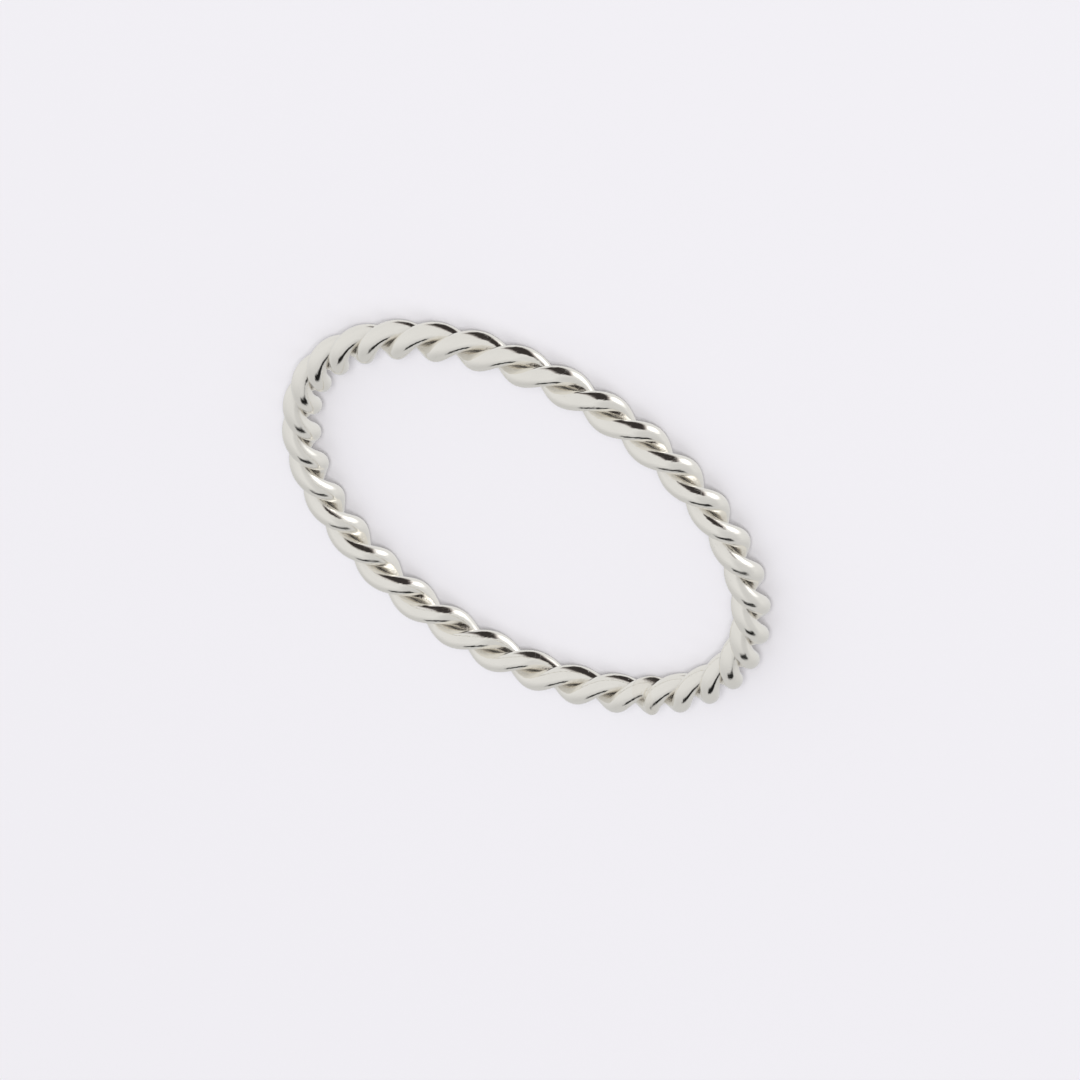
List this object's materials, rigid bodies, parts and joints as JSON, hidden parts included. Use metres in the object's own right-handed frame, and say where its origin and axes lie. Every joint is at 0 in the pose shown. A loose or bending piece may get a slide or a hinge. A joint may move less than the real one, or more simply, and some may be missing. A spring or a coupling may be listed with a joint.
{
  "type": "twisted-wire stacking ring",
  "caption": "Slim polished silver stacking ring: round wires twisted like a rope, closed to a circle at a soldered seam.",
  "frame": {"origin": "on the surface the ring lies on, under the ring's centre", "axes": "+Z is the finger's axis, +Y points to the soldered seam, +X to the right when the seam is at the back"},
  "size_m": [0.0202, 0.0202, 0.0015],
  "materials": {
    "silver": "mirror polished sterling silver"
  },
  "bodies": {
    "root": {"strand_a": "silver", "strand_b": "silver"}
  },
  "joints": []
}
